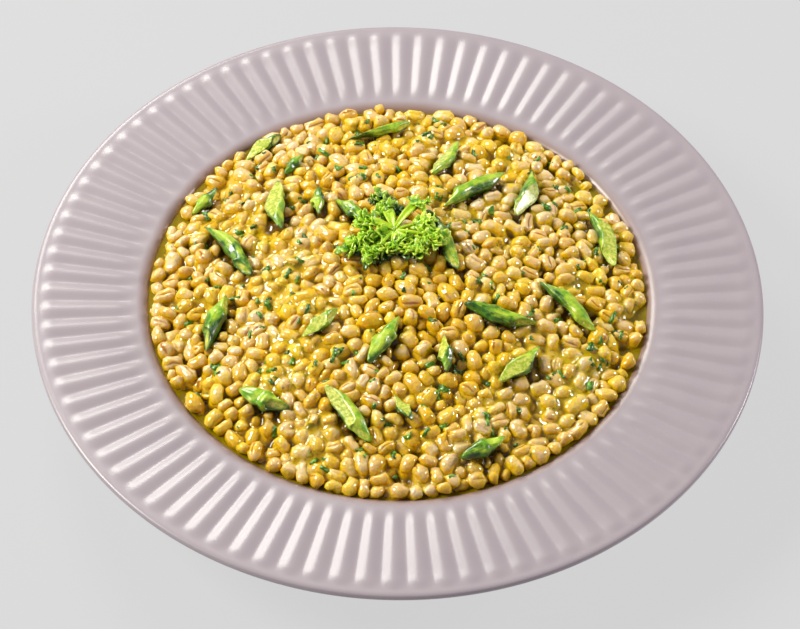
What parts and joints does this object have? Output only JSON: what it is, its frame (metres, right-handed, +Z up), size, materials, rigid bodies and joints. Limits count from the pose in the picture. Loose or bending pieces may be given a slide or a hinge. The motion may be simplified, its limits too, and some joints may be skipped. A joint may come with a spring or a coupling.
{
  "type": "barley risotto on a plate",
  "caption": "Barley risotto with asparagus pieces and a parsley sprig, heaped in the well of a wide-rimmed plate with a ribbed rim.",
  "frame": {"origin": "on the table, under the middle of the plate's foot", "axes": "+Z up; +Y away from the diner, towards the far rim; +X to the diner's right"},
  "size_m": [0.3, 0.2998, 0.0644],
  "materials": {
    "glaze": "satin-gloss pale grey-pink glaze",
    "sauce": "creamy yellow-olive sauce, glossy",
    "barley": "wet cooked barley grains, cream to golden",
    "asparagus": "cooked green asparagus, moist gloss",
    "parsley": "fresh curly parsley and chopped herbs"
  },
  "bodies": {
    "root": {"plate": "glaze", "sauce": "sauce", "barley": "barley", "parsley": "parsley", "asparagus_01": "asparagus", "asparagus_02": "asparagus", "asparagus_03": "asparagus", "asparagus_04": "asparagus", "asparagus_05": "asparagus", "asparagus_06": "asparagus", "asparagus_07": "asparagus", "asparagus_08": "asparagus", "asparagus_09": "asparagus", "asparagus_10": "asparagus", "asparagus_11": "asparagus", "asparagus_12": "asparagus", "asparagus_13": "asparagus", "asparagus_14": "asparagus", "asparagus_15": "asparagus", "asparagus_16": "asparagus", "asparagus_17": "asparagus", "asparagus_18": "asparagus", "asparagus_19": "asparagus", "asparagus_20": "asparagus", "asparagus_21": "asparagus", "asparagus_22": "asparagus", "asparagus_23": "asparagus", "asparagus_24": "asparagus"}
  },
  "joints": []
}
